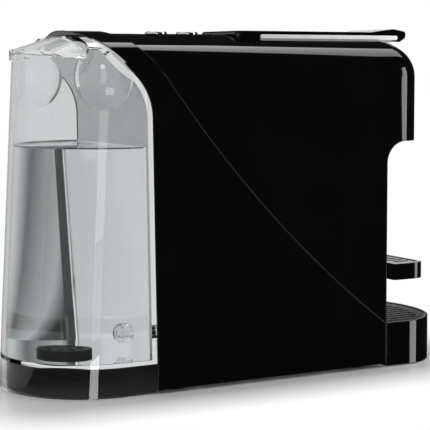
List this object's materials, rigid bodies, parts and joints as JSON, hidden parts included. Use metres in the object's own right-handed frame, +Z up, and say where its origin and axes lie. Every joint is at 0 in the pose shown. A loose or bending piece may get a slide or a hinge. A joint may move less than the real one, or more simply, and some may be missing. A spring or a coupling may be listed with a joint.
{
  "type": "pod coffee machine",
  "caption": "Slim gloss-black pod coffee machine with a clear half-round water tank, hinged capsule lever, fold-up cup shelf and pull-out drip tray.",
  "frame": {"origin": "on the table, under the middle of the footprint", "axes": "+Z up, the drip tray and head face -Y, the water tank is at +Y, X runs across the machine"},
  "size_m": [0.12, 0.34, 0.2498],
  "materials": {
    "gloss_black": "high gloss",
    "satin_black": "satin",
    "clear": "clear polished",
    "pale_grey": "satin",
    "chrome": "polished",
    "steel": "brushed",
    "rubber": "matte",
    "alloy": "cast",
    "satin_silver": "satin",
    "board_green": "satin"
  },
  "bodies": {
    "housing": {"upper_shell": "gloss_black", "lower_shell": "gloss_black", "rear_panel": "pale_grey", "base_plate": "satin_black", "feet": "rubber", "base_screws": "steel", "tank_dock": "satin_black", "control_panel": "satin_black", "brew_injector": "satin_black", "coffee_spout": "satin_black", "pump": "steel", "heater": "alloy", "circuit_board": "board_green"},
    "lever": {"lever": "gloss_black", "lever_trim": "satin_silver", "lever_pin": "steel"},
    "brew_carriage": {"brew_carriage": "satin_black"},
    "button_short": {"button_short": "chrome"},
    "button_long": {"button_long": "chrome"},
    "tank": {"tank": "clear", "tank_outlet": "clear", "tank_strainer": "satin_black"},
    "tank_lid": {"tank_lid": "clear"},
    "tray_unit": {"drip_tray": "gloss_black", "drawer_front": "gloss_black", "capsule_bin": "satin_black"},
    "cup_shelf": {"cup_shelf": "gloss_black", "shelf_grille": "gloss_black", "shelf_pin": "steel"},
    "drip_grille": {"drip_grille": "gloss_black"}
  },
  "joints": [
    {"name": "lever_hinge", "type": "hinge", "parent": "housing", "child": "lever", "pos_m": [0, 0, 0.2444], "axis": [-1, 0, 0], "range_deg": [0, 88]},
    {"name": "carriage_slide", "type": "slide", "parent": "housing", "child": "brew_carriage", "axis": [0, -1, 0], "range_m": [0, 0.016]},
    {"name": "button_short_press", "type": "slide", "parent": "housing", "child": "button_short", "axis": [0, 0, -1], "range_m": [0, 0.0016], "stiffness_N_per_m": 400},
    {"name": "button_long_press", "type": "slide", "parent": "housing", "child": "button_long", "axis": [0, 0, -1], "range_m": [0, 0.0016], "stiffness_N_per_m": 400},
    {"name": "tank_slide", "type": "slide", "parent": "housing", "child": "tank", "axis": [0, 1, 0], "range_m": [0, 0.11]},
    {"name": "lid_hinge", "type": "hinge", "parent": "tank", "child": "tank_lid", "pos_m": [0, 0.131, 0.24083], "axis": [1, 0, 0], "range_deg": [0, 75]},
    {"name": "tray_slide", "type": "slide", "parent": "housing", "child": "tray_unit", "axis": [0, -1, 0], "range_m": [0, 0.07]},
    {"name": "shelf_hinge", "type": "hinge", "parent": "tray_unit", "child": "cup_shelf", "pos_m": [0, -0.115, 0.07], "axis": [-1, 0, 0], "range_deg": [0, 90]},
    {"name": "grille_lift", "type": "slide", "parent": "tray_unit", "child": "drip_grille", "axis": [0, 0, 1], "range_m": [0, 0.025]}
  ],
  "couplings": [
    {"joint": "carriage_slide", "follows": "lever_hinge", "m_per_rad": 0.010417}
  ]
}
